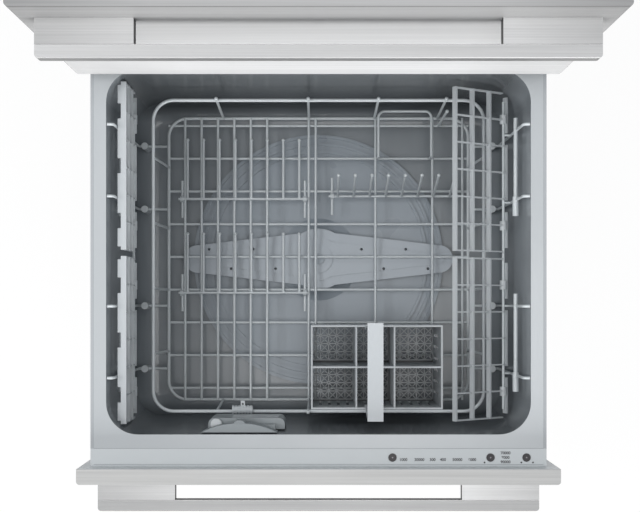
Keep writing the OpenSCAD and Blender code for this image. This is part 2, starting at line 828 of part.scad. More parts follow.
cutlery_x = 78;
cutlery_y = loop_y0 + loop_wire / 2 + 0.35 + cutlery_d / 2;
cutlery_z = grid_z + grid_wire / 2 + clearance;
cutlery_span = [cutlery_x - cutlery_w / 2 - 2, cutlery_x + cutlery_w / 2 + 6];

divider_x = [-0.156, 0.134] * cutlery_w;
divider_gap = 0.2;               // round each divider and between the strap and the walls
peg_r = 2.2;
strap_x = -6;
strap_t = 3;
strap_low = cutlery_h - 12;
strap_y = cutlery_d / 2 - cutlery_wall - divider_gap;
peg_z = strap_low + 5;

// The box of the cutlery basket, with slotted walls and a pierced floor.
module cutlery_shell(w, d) {
    wall = cutlery_wall;
    slot = 4;
    slot_low = 12;
    slot_top = cutlery_h - 46;
    hole = 9.4;
    step = 0.066 * cutlery_w;
    bays = [[-w, divider_x[0]], divider_x, [divider_x[1], w]];
    difference() {
        block([-w, -d, 0], [w, d, cutlery_h]);
        block([wall - w, wall - d, wall], [w - wall, d - wall, cutlery_h + 1]);
        for (bay = bays, s = [-1, 1]) {
            n = floor((bay[1] - bay[0] - wall) / step);
            translate([(bay[0] + bay[1]) / 2, s * d / 2, -1])
                for (k = [0 : n - 1], m = [-1.5 : 1.5])
                    translate([(k - (n - 1) / 2) * step, m * d / 4.8, 0])
                        linear_extrude(wall + 2) square(hole, center = true);
        }
        for (i = [-6 : 6], s = [0, 1]) mirror([0, s, 0]) translate([i * w / 7, d, 0])
            block([-slot / 2, -wall - 1, slot_low], [slot / 2, 1, slot_top]);
        for (i = [-2.5 : 2.5], s = [0, 1]) mirror([s, 0, 0]) translate([w, i * d / 3.5, 0])
            block([-wall - 1, -slot / 2, slot_low], [1, slot / 2, slot_top]);
        translate([strap_x, 0, peg_z]) rotate([90, 0, 0])
            cylinder(r = peg_r + fit, h = 2 * d + 2, center = true);
    }
}

// A long divider and two cross dividers, slotted into one another at half their height.
module cutlery_dividers(w, d) {
    wall = cutlery_wall;
    t = wall / 2;
    g = divider_gap;
    middle = (cutlery_h + wall) / 2;
    difference() {
        block([wall + g - w, -t, wall + g], [w - wall - g, t, cutlery_h]);
        for (x = divider_x) block([x - t - g, -wall, 0], [x + t + g, wall, middle + g]);
    }
    for (x = divider_x) difference() {
        block([x - t, wall + g - d, wall + g], [x + t, d - wall - g, cutlery_h]);
        block([x - wall, -t - g, middle], [x + wall, t + g, cutlery_h + 1]);
    }
}

// The carrying strap: its legs stand inside the walls on pegs and lean out over them.
module cutlery_strap(d) {
    t = strap_t;
    bend = cutlery_h + 7;
    top = -17 - cutlery_z;
    front = d + 8;
    back = d + 4.4;
    along_x(strap_x - strap_w / 2, strap_x + strap_w / 2) polygon([
        [-strap_y, strap_low], [-strap_y, bend], [-front, top], [back, top],
        [strap_y, bend], [strap_y, strap_low], [strap_y - t, strap_low], [strap_y - t, bend],
        [back - t, top - t], [t - front, top - t], [t - strap_y, bend], [t - strap_y, strap_low]]);
    for (s = [0, 1]) mirror([0, s, 0]) translate([strap_x, strap_y - t / 2, peg_z])
        rotate([-90, 0, 0]) cylinder(r = peg_r, h = d - strap_y + t / 2);
}

module cutlery_basket() {
    w = cutlery_w / 2;
    d = cutlery_d / 2;
    color(COATED) translate([cutlery_x, cutlery_y, cutlery_z]) {
        cutlery_shell(w, d);
        cutlery_dividers(w, d);
        cutlery_strap(d);
    }
}

// ---- Cabinet -------------------------------------------------------------------------

module side_panels() {
    x = cabinet_w / 2;
    lip = 9;
    color(ZINC) difference() {
        translate([0, front_y, foot_h]) both_sides() linear_extrude(cabinet_h - foot_h - sheet)
            polygon([[x, cabinet_y0], [x, cabinet_y1], [x - sheet, cabinet_y1],
                     [x - sheet, cabinet_y0 + sheet], [x - lip, cabinet_y0 + sheet],
                     [x - lip, cabinet_y0]]);
        for (level = [0, 1]) in_bay(level) both_sides()
            block([x - lip - 1, cabinet_y0 - 1, -runner_drop - runner_h / 2 - 3],
                  [x - sheet, cabinet_y0 + sheet + 1, -runner_drop + runner_h / 2 + 3]);
    }
}

fixing_y = cabinet_y0 + 12;

module top_panel() {
    color(ZINC) translate([0, front_y, cabinet_h - sheet]) difference() {
        block([-cabinet_w / 2, cabinet_y0, 0], [cabinet_w / 2, cabinet_y1, sheet]);
        for (s = [-1, 1]) translate([s * fixing_spacing / 2, fixing_y, -1])
            cylinder(r = 2.5, h = sheet + 2);
    }
}

port_z = kick_h + 26;
drain_x = cabinet_w / 2 - 108;
inlet_x = drain_x - 60;

module back_panel() {
    w = cabinet_w / 2 - sheet;
    color(ZINC) translate([0, front_y + back_y, 0]) difference() {
        union() {
            block([-w, 0, foot_h + sheet], [w, sheet, cabinet_h - sheet]);
            for (i = [-2 : 2]) translate([i * w * 0.36, sheet, 0])
                block([-8, -0.2, foot_h + 120], [8, 3, cabinet_h - 60]);
        }
        for (x = [drain_x, inlet_x]) translate([x, -1, port_z]) rotate([-90, 0, 0])
            cylinder(r = 17, h = sheet + 2);
    }
}

// The drain spigot and the water inlet, held in the back panel.
module hose_connections() {
    reach = back_inset - 1;
    color(GREY) translate([0, front_y + back_y, port_z]) rotate([-90, 0, 0]) {
        translate([drain_x, 0, 0]) difference() {
            union() {
                translate([0, 0, -4]) cylinder(r = 24, h = 4);
                cylinder(r = 17, h = sheet);
                cylinder(d = spigot_d, h = sheet + reach);
            }
            translate([0, 0, -5]) cylinder(d = spigot_d - 5, h = reach + 10);
        }
        translate([inlet_x, 0, 0]) difference() {
            union() {
                translate([0, 0, -4]) cylinder(r = 24, h = 4);
                cylinder(r = 17, h = sheet);
                cylinder(r = 13.2, h = sheet + reach - 4);
            }
            translate([0, 0, -5]) cylinder(r = 9, h = reach + 10);
        }
    }
}

module base_pan() {
    w = cabinet_w / 2 - sheet;
    y0 = cabinet_y0 + 30;
    y1 = back_y - clearance;
    depth = 0.8 * foot_h;
    color(ZINC) translate([0, front_y, foot_h]) difference() {
        block([-w, y0, 0], [w, y1, depth]);
        block([sheet - w, y0 + sheet, sheet], [w - sheet, y1 - sheet, depth + 1]);
    }
}

module levelling_feet() {
    color(DARK) for (x = [-1, 1], y = [cabinet_y0 + 52, back_y - 30])
        translate([x * (cabinet_w / 2 - 40), front_y + y, 0]) {
            cylinder(r = 22, h = 6);
            translate([0, 0, 6]) cylinder(r1 = 22, r2 = 10, h = 6);
            cylinder(r = 6, h = foot_h);
        }
}

module toe_kick() {
    color(DARK) translate([0, front_y + cabinet_y0 + 24, 0])
        block([-cabinet_w / 2 + sheet, 0, 10], [cabinet_w / 2 - sheet, 2, kick_h - 4]);
}

pin_r = 3;
pin_x = drawer_w / 2 - frame_edge - 9;
pin_y = [tub_y0 + 60, tub_y1 - 60];
carrier_h = 7;
carrier_z = lid_room + 2;

// Two cross rails over each lid, with the pins that guide it.
module lid_carriers() {
    half = 9;
    color(ZINC) for (level = [0, 1]) in_bay(level) for (y = pin_y) translate([0, y, carrier_z]) {
        along_x(-wall_x, wall_x) difference() {
            translate([-half, 0]) square([2 * half, carrier_h]);
            translate([sheet - half, -1]) square([2 * (half - sheet), carrier_h - sheet + 1]);
        }
        for (s = [-1, 1]) translate([s * pin_x, 0, 2.5 - carrier_z])
            cylinder(r = pin_r, h = carrier_z - 2.5 + carrier_h - sheet / 2);
    }
}

// A lid that hangs above a tub on four pins and comes down on its rim.
module lid(level) {
    w = drawer_w / 2 - frame_edge - 2;
    color(COATED) in_bay(level) difference() {
        translate([0, 0, lid_lift]) difference() {
            block([-w, tub_y0 + 2, 0], [w, tub_y1 - 2, lid_t]);
            translate([0, opening_yc, -1]) linear_extrude(lid_t - 4) opening_plan(-6);
        }
        for (s = [-1, 1], y = pin_y) translate([s * pin_x, y, lid_lift - 1])
            cylinder(r = pin_r + fit, h = lid_t + 2);
    }
}

rack_fold = 90 - rack_rest;
right_row_angle = 75;
upper_row_angle = 80;

// ---- Everything ----------------------------------------------------------------------

side_panels();
top_panel();
back_panel();
base_pan();
levelling_feet();
toe_kick();
fixed_runners();
hose_connections();
lid_carriers();
lid(0);  // lower_lid
lid(1);  // upper_lid
in_drawer(0) front_skin();  // lower_front_skin
in_drawer(0) front_liner();  // lower_front_liner
in_drawer(0) handle_bar();  // lower_handle_bar
in_drawer(0) handle_brackets();  // lower_handle_brackets
in_drawer(0) fascia();  // lower_fascia
in_drawer(0) button(0);  // lower_programme_button
in_drawer(0) button(1);  // lower_option_button
in_drawer(0) button(2);  // lower_power_button
in_drawer(0) tub();  // lower_tub
in_drawer(0) side_frames();  // lower_side_frames
inner_runners(0);  // lower_inner_runners
middle_runners(0);  // lower_middle_runners
in_drawer(0) filter_plate();  // lower_filter_plate
in_drawer(0) wash_unit();  // lower_wash_unit
in_drawer(0) spray_arm();  // lower_spray_arm
in_drawer(0) dispenser();  // lower_dispenser
in_drawer(0) dispenser_lid();  // lower_dispenser_lid
in_drawer(0) rinse_cap();  // lower_rinse_cap
in_drawer(0) basket_floor([0, 1, 2]);  // lower_basket_floor
in_drawer(0) basket_sides(cutlery_span);  // lower_basket_sides
in_drawer(0) rack_posts();  // lower_rack_posts
in_drawer(0) tine_row(0, 0);  // lower_tines_left_front
in_drawer(0) tine_row(1, 0);  // lower_tines_left_back
in_drawer(0) tine_row(2, right_row_angle);  // lower_tines_right
in_drawer(0) cup_rack(-1, 0, 0);  // lower_cup_rack_left_front
in_drawer(0) cup_rack(-1, 1, 0);  // lower_cup_rack_left_back
in_drawer(0) cup_rack(1, 0, rack_fold);  // lower_cup_rack_right_front
in_drawer(0) cup_rack(1, 1, rack_fold);  // lower_cup_rack_right_back
in_drawer(0) cutlery_basket();  // lower_cutlery_basket
in_drawer(1) front_skin();  // upper_front_skin
in_drawer(1) front_liner();  // upper_front_liner
in_drawer(1) handle_bar();  // upper_handle_bar
in_drawer(1) handle_brackets();  // upper_handle_brackets
in_drawer(1) fascia();  // upper_fascia
in_drawer(1) button(0);  // upper_programme_button
in_drawer(1) button(1);  // upper_option_button
in_drawer(1) button(2);  // upper_power_button
in_drawer(1) tub();  // upper_tub
in_drawer(1) side_frames();  // upper_side_frames
inner_runners(1);  // upper_inner_runners
middle_runners(1);  // upper_middle_runners
in_drawer(1) filter_plate();  // upper_filter_plate
in_drawer(1) wash_unit();  // upper_wash_unit
in_drawer(1) spray_arm();  // upper_spray_arm
in_drawer(1) {  // upper_dispenser
    dispenser();
    rinse_cap();
}
in_drawer(1) dispenser_lid();  // upper_dispenser_lid
in_drawer(1) basket_floor([1]);  // upper_basket_floor
in_drawer(1) basket_sides([0, 0]);  // upper_basket_sides
in_drawer(1) tine_row(1, upper_row_angle);  // upper_tines
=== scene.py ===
"""Looks of the two-drawer dishwasher with its lower drawer pulled out. Metres, in the CAD's frame."""
import json

import bmesh
import bpy
from mathutils import Matrix, Vector


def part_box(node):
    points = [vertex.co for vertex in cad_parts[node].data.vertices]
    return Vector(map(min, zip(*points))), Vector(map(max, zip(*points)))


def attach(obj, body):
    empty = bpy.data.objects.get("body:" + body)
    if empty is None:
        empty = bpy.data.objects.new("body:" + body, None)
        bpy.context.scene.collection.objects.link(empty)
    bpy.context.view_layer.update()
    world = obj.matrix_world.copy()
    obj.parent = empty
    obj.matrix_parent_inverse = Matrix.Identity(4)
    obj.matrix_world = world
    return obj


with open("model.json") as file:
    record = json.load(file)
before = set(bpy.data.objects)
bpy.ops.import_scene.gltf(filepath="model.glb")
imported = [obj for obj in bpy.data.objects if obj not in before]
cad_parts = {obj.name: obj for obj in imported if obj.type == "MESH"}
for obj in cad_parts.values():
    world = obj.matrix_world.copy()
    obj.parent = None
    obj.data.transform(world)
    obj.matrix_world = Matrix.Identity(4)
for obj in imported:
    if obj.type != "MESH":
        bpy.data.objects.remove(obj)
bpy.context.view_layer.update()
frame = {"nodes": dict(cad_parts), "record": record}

# ---- Places --------------------------------------------------------------------------
LEVELS = ("lower", "upper")
RIGHT = Vector((1, 0, 0))
BACK = Vector((0, 1, 0))
UP = Vector((0, 0, 1))
# A drawer's own frame starts at the middle of its front's outer face, level with its tub's rim.
ORIGIN = {
    level: Vector((0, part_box(level + "_front_skin")[0].y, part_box(level + "_tub")[1].z))
    for level in LEVELS}
CUTLERY_FLOOR_THICK = 0.0022
CUTLERY_FLOOR_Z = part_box("lower_cutlery_basket")[0].z + CUTLERY_FLOOR_THICK


def in_drawer(level, x, y, z):
    """The place in the row frame of a point given in millimetres in a drawer's own frame."""
    return ORIGIN[level] + Vector((x, y, z)) / 1000


# ---- Camera --------------------------------------------------------------------------
# The photograph looks straight down: every upright edge runs towards one point, the nadir.
IMAGE_W = 640
IMAGE_H = 512
NADIR_PX = (318.5, 303)
FOCAL_PX = 1266
SENSOR = 36.0
CAMERA_HEIGHT = 2.014
FRONT_TO_NADIR = 0.2239          # from the open front's face back to the nadir
VIEW_DEPTH = 20


def make_camera():
    """A camera over the open drawer, shifted so that its nadir lies where the photograph's does."""
    data = bpy.data.cameras.new("camera")
    data.sensor_width = SENSOR
    data.lens = FOCAL_PX * SENSOR / IMAGE_W
    data.shift_x = (IMAGE_W / 2 - NADIR_PX[0]) / IMAGE_W
    data.shift_y = (NADIR_PX[1] - IMAGE_H / 2) / IMAGE_W
    data.clip_end = VIEW_DEPTH
    camera = bpy.data.objects.new("camera", data)
    camera.location = (0, ORIGIN["lower"].y + FRONT_TO_NADIR, CAMERA_HEIGHT)
    bpy.context.scene.collection.objects.link(camera)
    bpy.context.scene.camera = camera


# ---- Light and floor -----------------------------------------------------------------
# A soft key from the left, a large soft lamp in front of the machine and a weak one over it:
# name, place, target, size in metres, power in watts.
LAMPS = [
    ("key", (-2.25, -0.3, 4.2), (0, -0.3, 0.3), (1.35, 1.35), 53),
    ("front", (0.1, -3.0, 1.1), (0, 0, 0.62), (2.6, 1.8), 115),
    ("top", (0.2, -0.5, 3.3), (0, -0.4, 0.3), (1.1, 1.1), 14),
]
ROOM_COLOR = (0.95, 0.97, 1.0, 1)
ROOM_STRENGTH = 0.5
FLOOR_SIZE = 8
FLOOR_COLOR = (0.9, 0.9, 0.9, 1)
PAPER_SHARE = 0.93               # how much plain white the camera sees in the floor


def make_area(name, place, target, size, power):
    data = bpy.data.lights.new(name, "AREA")
    data.shape = "RECTANGLE"
    data.size, data.size_y = size
    data.energy = power
    lamp = bpy.data.objects.new(name, data)
    lamp.location = place
    lamp.rotation_euler = (Vector(target) - Vector(place)).to_track_quat("-Z", "Y").to_euler()
    bpy.context.scene.collection.objects.link(lamp)


def make_light():
    """A pale room and its lamps."""
    world = bpy.data.worlds.new("studio")
    bpy.context.scene.world = world
    world.use_nodes = True
    background = world.node_tree.nodes["Background"]
    background.inputs["Color"].default_value = ROOM_COLOR
    background.inputs["Strength"].default_value = ROOM_STRENGTH
    for lamp in LAMPS:
        make_area(*lamp)


def show_white(tree, surface, share):
    """Mixes a share of plain white into a surface for the camera and for what metal reflects."""
    rays = tree.nodes.new("ShaderNodeLightPath")
    seen = rays.outputs["Is Camera Ray"]
    for name in ("Is Glossy Ray", "Is Transmission Ray"):
        either = tree.nodes.new("ShaderNodeMath")
        either.operation = "MAXIMUM"
        tree.links.new(seen, either.inputs[0])
        tree.links.new(rays.outputs[name], either.inputs[1])
        seen = either.outputs["Value"]
    factor = tree.nodes.new("ShaderNodeMath")
    factor.operation = "MULTIPLY"
    factor.inputs[1].default_value = share
    tree.links.new(seen, factor.inputs[0])
    white = tree.nodes.new("ShaderNodeEmission")
    white.inputs["Color"].default_value = (1, 1, 1, 1)
    white.inputs["Strength"].default_value = 1
    mix = tree.nodes.new("ShaderNodeMixShader")
    tree.links.new(factor.outputs["Value"], mix.inputs["Fac"])
    tree.links.new(surface, mix.inputs[1])
    tree.links.new(white.outputs["Emission"], mix.inputs[2])
    tree.links.new(mix.outputs["Shader"], tree.nodes["Material Output"].inputs["Surface"])


def make_floor():
    """A pale floor that the camera sees as white paper, with the machine's soft shadow."""
    bpy.ops.mesh.primitive_plane_add(size=FLOOR_SIZE)
    floor = bpy.context.object
    floor.name = "floor"
    material = bpy.data.materials.new("floor")
    material.use_nodes = True
    shader = material.node_tree.nodes["Principled BSDF"]
    shader.inputs["Base Color"].default_value = FLOOR_COLOR
    shader.inputs["Roughness"].default_value = 0.8
    show_white(material.node_tree, shader.outputs["BSDF"], PAPER_SHARE)
    floor.data.materials.append(material)


# ---- Materials -----------------------------------------------------------------------
TUB_COLOR = (0.25, 0.275, 0.295)
RIM_COLOR = (0.480, 0.505, 0.522)
RACK_COLOR = (0.53, 0.56, 0.58)
# Painted shade in the cells between the bars of the cutlery basket's lattice.
LATTICE_CELL_SHADE = (0.05, 0.055, 0.06)
CLOUD = (9, 9, 9)                # stretch of the slow clouding in moulded plastic
SATIN = (1500, 1500, 1500)       # stretch of its fine grain
STEEL_SPECULAR = 0.06
STEEL_TINT = (0.35, 0.35, 0.35, 1)
COLOR_EDGE = 0.0004              # height over which one colour goes into the next
# Ramps that paint light and shade into brushed steel: axis, low, high, brightness at low and at high,
# for Shader.shade().
# Painted light on a handle bar: a painted highlight on its rear bevels and painted shade on its front
# faces, on its backs and on all its faces that don't face up.
HANDLE_PAINTED_LIGHT = [
    ("NZ", 0.75, 0.95, 0.75, 1.0),
    ("NY", 0.4, 0.6, 1.0, 2.4),
    ("NY", 0.75, 0.9, 1.0, 0.15),
    ("NY", -0.75, -0.5, 0.55, 1.0),
]
# Painted shade as dark lines down a front's rounded upright edges.
EDGE_PAINTED_SHADE = ("aNX", 0.3, 0.6, 1.0, 0.35)
# The shut front with painted light: painted shade towards its top, a dark band along its top edge, a
# painted highlight on its top face and painted shade at its ends.
SHUT_FRONT_PAINTED_LIGHT = [
    ("Z", 0.50, 0.80, 0.80, 0.36),
    ("Z", 0.8105, 0.8125, 1.0, 0.6),
    ("NZ", 0.8, 0.95, 1.0, 2.5),
    ("aX", 0.16, 0.29, 1.0, 0.74),
    EDGE_PAINTED_SHADE,
]
# Painted shade on the brackets' ends.
END_PAINTED_SHADE = ("aNX", 0.7, 0.9, 1.0, 0.2)
# Painted light on each pair of brackets: how bright it is at its left and its right end.
BRACKET_PAINTED_LIGHT = {"lower": (0.80, 0.93), "upper": (0.94, 1.13)}


class Shader:
    """A Principled material with helpers for its node tree."""

    def __init__(self, name, color, roughness, metallic=0.0, coat=0.0, specular=0.5):
        self.material = bpy.data.materials.new(name)
        self.material.use_nodes = True
        self.tree = self.material.node_tree
        self.bsdf = self.tree.nodes["Principled BSDF"]
        self.color = color
        self.bsdf.inputs["Base Color"].default_value = (*color, 1)
        self.bsdf.inputs["Roughness"].default_value = roughness
        self.bsdf.inputs["Metallic"].default_value = metallic
        self.bsdf.inputs["Coat Weight"].default_value = coat
        self.bsdf.inputs["Specular IOR Level"].default_value = specular
        texture = self.tree.nodes.new("ShaderNodeTexCoord")
        self.coords = texture.outputs["Object"]
        self.normal = texture.outputs["Normal"]

    def node(self, kind, **settings):
        node = self.tree.nodes.new(kind)
        for key, value in settings.items():
            setattr(node, key, value)
        return node

    def link(self, output, target):
        self.tree.links.new(output, target)

    def noise(self, stretch, detail=3.0, rough=0.6):
        """Noise over the object; stretch is how fine it is along each axis."""
        mapping = self.node("ShaderNodeMapping")
        mapping.inputs["Scale"].default_value = stretch
        self.link(self.coords, mapping.inputs["Vector"])
        noise = self.node("ShaderNodeTexNoise")
        noise.inputs["Scale"].default_value = 1
        noise.inputs["Detail"].default_value = detail
        noise.inputs["Roughness"].default_value = rough
        self.link(mapping.outputs["Vector"], noise.inputs["Vector"])
        return noise.outputs["Fac"]

    def remap(self, value, low, high, to_low, to_high):
        """Maps low..high to to_low..to_high and clamps beyond them."""
        node = self.node("ShaderNodeMapRange")
        node.inputs["From Min"].default_value = low
        node.inputs["From Max"].default_value = high
        node.inputs["To Min"].default_value = to_low
        node.inputs["To Max"].default_value = to_high
        self.link(value, node.inputs["Value"])
        return node.outputs["Result"]

    def vary_color(self, value, darker, lighter):
        """Mixes the base colour between two brightnesses by a value from 0 to 1."""
        mix = self.node("ShaderNodeMix", data_type="RGBA")
        self.link(value, mix.inputs["Factor"])
        mix.inputs["A"].default_value = (*[c * darker for c in self.color], 1)
        mix.inputs["B"].default_value = (*[min(1.0, c * lighter) for c in self.color], 1)
        self.link(mix.outputs["Result"], self.bsdf.inputs["Base Color"])
        return mix.outputs["Result"]

    def add(self, a, b):
        node = self.node("ShaderNodeMath", operation="ADD")
        self.link(a, node.inputs[0])
        self.link(b, node.inputs[1])
        return node.outputs["Value"]

    def shade(self, color, axis, low, high, at_low, at_high):
        """Paints light and shade into a colour by multiplying it by a ramp. "Z" runs along the row
        frame's z, "NZ" along the normal's z, and a leading "a" counts both ways from 0."""
        split = self.node("ShaderNodeSeparateXYZ")
        self.link(self.normal if "N" in axis else self.coords, split.inputs["Vector"])
        place = split.outputs[axis[-1]]
        if axis[0] == "a":
            size = self.node("ShaderNodeMath", operation="ABSOLUTE")
            self.link(place, size.inputs[0])
            place = size.outputs["Value"]
        level = self.remap(place, low, high, at_low, at_high)
        scale = self.node("ShaderNodeVectorMath", operation="SCALE")
        self.link(color, scale.inputs["Vector"])
        self.link(level, scale.inputs["Scale"])
        self.link(scale.outputs["Vector"], self.bsdf.inputs["Base Color"])
        return scale.outputs["Vector"]

    def by_height(self, level, below, above):
        """Takes one colour below a height of the row frame and another above it."""
        split = self.node("ShaderNodeSeparateXYZ")
        self.link(self.coords, split.inputs["Vector"])
        mix = self.node("ShaderNodeMix", data_type="RGBA")
        factor = self.remap(split.outputs["Z"], level - COLOR_EDGE, level, 0, 1)
        self.link(factor, mix.inputs["Factor"])
        for side, color in (("A", below), ("B", above)):
            if isinstance(color, tuple):
                mix.inputs[side].default_value = (*color, 1)
            else:
                self.link(color, mix.inputs[side])
        self.link(mix.outputs["Result"], self.bsdf.inputs["Base Color"])

    def vary_roughness(self, value, low, high):
        self.link(self.remap(value, 0.3, 0.7, low, high), self.bsdf.inputs["Roughness"])

    def bump(self, value, depth, strength):
        bump = self.node("ShaderNodeBump")
        bump.inputs["Distance"].default_value = depth
        bump.inputs["Strength"].default_value = strength
        self.link(value, bump.inputs["Height"])
        self.link(bump.outputs["Normal"], self.bsdf.inputs["Normal"])


def brushed(name, color, roughness, metallic, ramps=()):
    """Brushed steel with its grain along x, with light and shade painted in by ramps."""
    shader = Shader(name, color, roughness, metallic=metallic, specular=STEEL_SPECULAR)
    shader.bsdf.inputs["Specular Tint"].default_value = STEEL_TINT
    grain = shader.noise((5, 1300, 1300), 5.0, 0.75)
    streak = shader.noise((2.2, 160, 160))
    cloud = shader.noise((4, 6, 6), 2.0)
    fine_part = shader.remap(grain, 0.3, 0.7, 0, 0.62)
    coarse_part = shader.remap(streak, 0.3, 0.7, 0, 0.38)
    result = shader.vary_color(shader.add(fine_part, coarse_part), 0.80, 1.11)
    for ramp in ramps:
        result = shader.shade(result, *ramp)
    shader.vary_roughness(cloud, roughness * 0.85, roughness * 1.15)
    shader.bump(grain, 0.00004, 0.7)
    return shader.material


def moulded(name, color, roughness):
    """Moulded plastic with a fine satin grain and slight clouding."""
    shader = Shader(name, color, roughness)
    cloud = shader.noise(CLOUD)
    shader.vary_color(cloud, 0.96, 1.03)
    shader.vary_roughness(cloud, roughness * 0.85, roughness * 1.15)
    shader.bump(shader.noise(SATIN), 0.00003, 0.5)
    return shader.material


def tub_moulding(name, rim_z):
    """The tub's plastic: pale on the flat rim at height rim_z, dark in the bowl, with painted shade
    on the bowl's front and back walls."""
    shader = Shader(name, TUB_COLOR, 0.3)
    cloud = shader.noise(CLOUD)
    result = shader.vary_color(cloud, 0.95, 1.04)
    # Painted shade on the bowl's back and front walls.
    result = shader.shade(result, "NY", -0.9, -0.3, 0.38, 1.0)
    result = shader.shade(result, "NY", 0.3, 0.9, 1.0, 0.56)
    shader.by_height(rim_z - 0.0006, result, RIM_COLOR)
    shader.vary_roughness(cloud, 0.17, 0.25)
    shader.bump(shader.noise(SATIN), 0.00002, 0.4)
    return shader.material


def cutlery_moulding(name, floor_z):
    """The cutlery basket's plastic, with painted shade in the cells between the bars of the lattice
    on its floor.
    """
    shader = Shader(name, RACK_COLOR, 0.38)
    cloud = shader.noise(CLOUD)
    shader.by_height(floor_z + 0.0006, LATTICE_CELL_SHADE, shader.vary_color(cloud, 0.96, 1.03))
    shader.vary_roughness(cloud, 0.32, 0.44)
    shader.bump(shader.noise(SATIN), 0.00003, 0.5)
    return shader.material


def coated_wire(name, color):
    """Steel wire in a smooth nylon coat."""
    shader = Shader(name, color, 0.32, coat=0.25)
    cloud = shader.noise((60, 60, 60))
    shader.vary_color(cloud, 0.95, 1.04)
    shader.vary_roughness(cloud, 0.26, 0.4)
    shader.bump(shader.noise((900, 900, 900), 2.0), 0.00003, 0.4)
    return shader.material


def slot_materials():
    """One material for each slot of the record."""
    return {
        "brushed_steel": brushed("brushed_steel", (0.60, 0.60, 0.595), 0.42, 0.5),
        # handle_steel is a copy of the upper handle bar's steel, darkened with painted shade.
        "handle_steel": brushed("handle_steel", (0.385, 0.385, 0.385), 0.4, 0.4, HANDLE_PAINTED_LIGHT),
        "rim_plastic": moulded("rim_plastic", (0.57, 0.60, 0.615), 0.4),
        "tub_plastic": moulded("tub_plastic", TUB_COLOR, 0.3),
        "coated_wire": coated_wire("coated_wire", (0.60, 0.64, 0.66)),
        "rack_plastic": moulded("rack_plastic", RACK_COLOR, 0.38),
        "dark_plastic": moulded("dark_plastic", (0.02, 0.017, 0.02), 0.35),
        "coated_sheet": moulded("coated_sheet", (0.40, 0.42, 0.44), 0.45),
        "filter_plastic": moulded("filter_plastic", (0.30, 0.34, 0.38), 0.3),
        "spray_plastic": moulded("spray_plastic", (0.40, 0.44, 0.48), 0.32),
    }


def node_materials():
    """What a node wears in place of its slot's material."""
    special = {
        # The fronts and the handle bars are lit and shaded copies of one steel: the shut front and
        # the upper bar carry painted light, the open front painted shade.
        "upper_front_skin": brushed(
            "upper_steel_painted_light", (0.93, 0.93, 0.93), 0.45, 0.12, SHUT_FRONT_PAINTED_LIGHT),
        "upper_handle_bar": brushed(
            "upper_bar_steel_painted_light", (0.60, 0.60, 0.60), 0.4, 0.4, HANDLE_PAINTED_LIGHT),
        "lower_front_skin": brushed(
            "lower_steel_painted_shade", (0.445, 0.445, 0.44), 0.42, 0.4, [EDGE_PAINTED_SHADE]),
        "lower_tub": tub_moulding("lower_tub", ORIGIN["lower"].z),
        "upper_tub": tub_moulding("upper_tub", ORIGIN["upper"].z),
        # The dispenser's grey plastic is darkened with painted shade.
        "lower_dispenser": moulded("dispenser_plastic", (0.27, 0.30, 0.315), 0.35),
        "lower_cutlery_basket": cutlery_moulding("cutlery_plastic", CUTLERY_FLOOR_Z),
    }
    # The brackets' steel has painted light: a painted reflection makes them brighter towards their
    # inner ends, painted light sets each pair's brightness from left to right, and painted shade
    # darkens their ends.
    for level, (left, right) in BRACKET_PAINTED_LIGHT.items():
        special[level + "_handle_brackets"] = brushed(
            level + "_bracket_steel", (0.62, 0.62, 0.62), 0.4, 0.5,
            [("aX", 0.19, 0.275, 1.02, 0.84), ("X", -0.2, 0.2, left, right), END_PAINTED_SHADE])
    return special


MATERIALS = slot_materials()
NODE_MATERIALS = node_materials()
# What the marks, the buttons' dots and the seams wear. The marks' dark also serves as painted shade
# in the screws' slots and the clip lever's eye.
PRINT_AND_RECESS_SHADE = moulded("print", (0.035, 0.035, 0.04), 0.5)
PALE = moulded("pale", (0.30, 0.28, 0.30), 0.4)
SEAM = moulded("seam", (0.24, 0.26, 0.28), 0.5)


def dress_nodes():
    """Gives each CAD node its own material, or else that of its slot in the record."""
    for row in frame["record"]["subparts"]:
        slots = frame["nodes"][row["node"]].data.materials
        slots.clear()
        slots.append(NODE_MATERIALS.get(row["node"], MATERIALS[row["material_slot"]]))


# ---- Small pieces --------------------------------------------------------------------
# Places in a drawer are in millimetres in its own frame, and the pieces' sizes in metres unless
# the lines say otherwise. A disc is a radius and a height.


def new_piece(name, mesh, material, body):
    """Wraps a bmesh as a piece that rides on a body and wears the given material."""
    data = bpy.data.meshes.new(name)
    mesh.to_mesh(data)
    mesh.free()
    piece = bpy.data.objects.new(name, data)
    data.materials.append(material)
    bpy.context.scene.collection.objects.link(piece)
    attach(piece, body)


def add_box(mesh, low, high):
    place = Matrix.Translation((low + high) / 2) @ Matrix.Diagonal((*(high - low), 1))
    bmesh.ops.create_cube(mesh, size=1, matrix=place)


def add_bar(mesh, start, end, width, height):
    """A bar from start to end; a level one has its width across and its height upwards."""
    along = end - start
    turn = along.to_track_quat("X", "Z").to_matrix().to_4x4()
    size = Matrix.Diagonal((along.length, width, height, 1))
    place = Matrix.Translation((start + end) / 2) @ turn @ size
    bmesh.ops.create_cube(mesh, size=1, matrix=place)


def add_disc(mesh, middle, axis, radius, height, top=None, segments=24):
    """A round piece that starts at middle and runs along axis; top is its far end's radius."""
    turn = axis.to_track_quat("Z", "Y").to_matrix().to_4x4()
    place = Matrix.Translation(middle + axis.normalized() * height / 2) @ turn
    bmesh.ops.create_cone(
        mesh, cap_ends=True, segments=segments, radius1=radius,
        radius2=radius if top is None else top, depth=height, matrix=place)


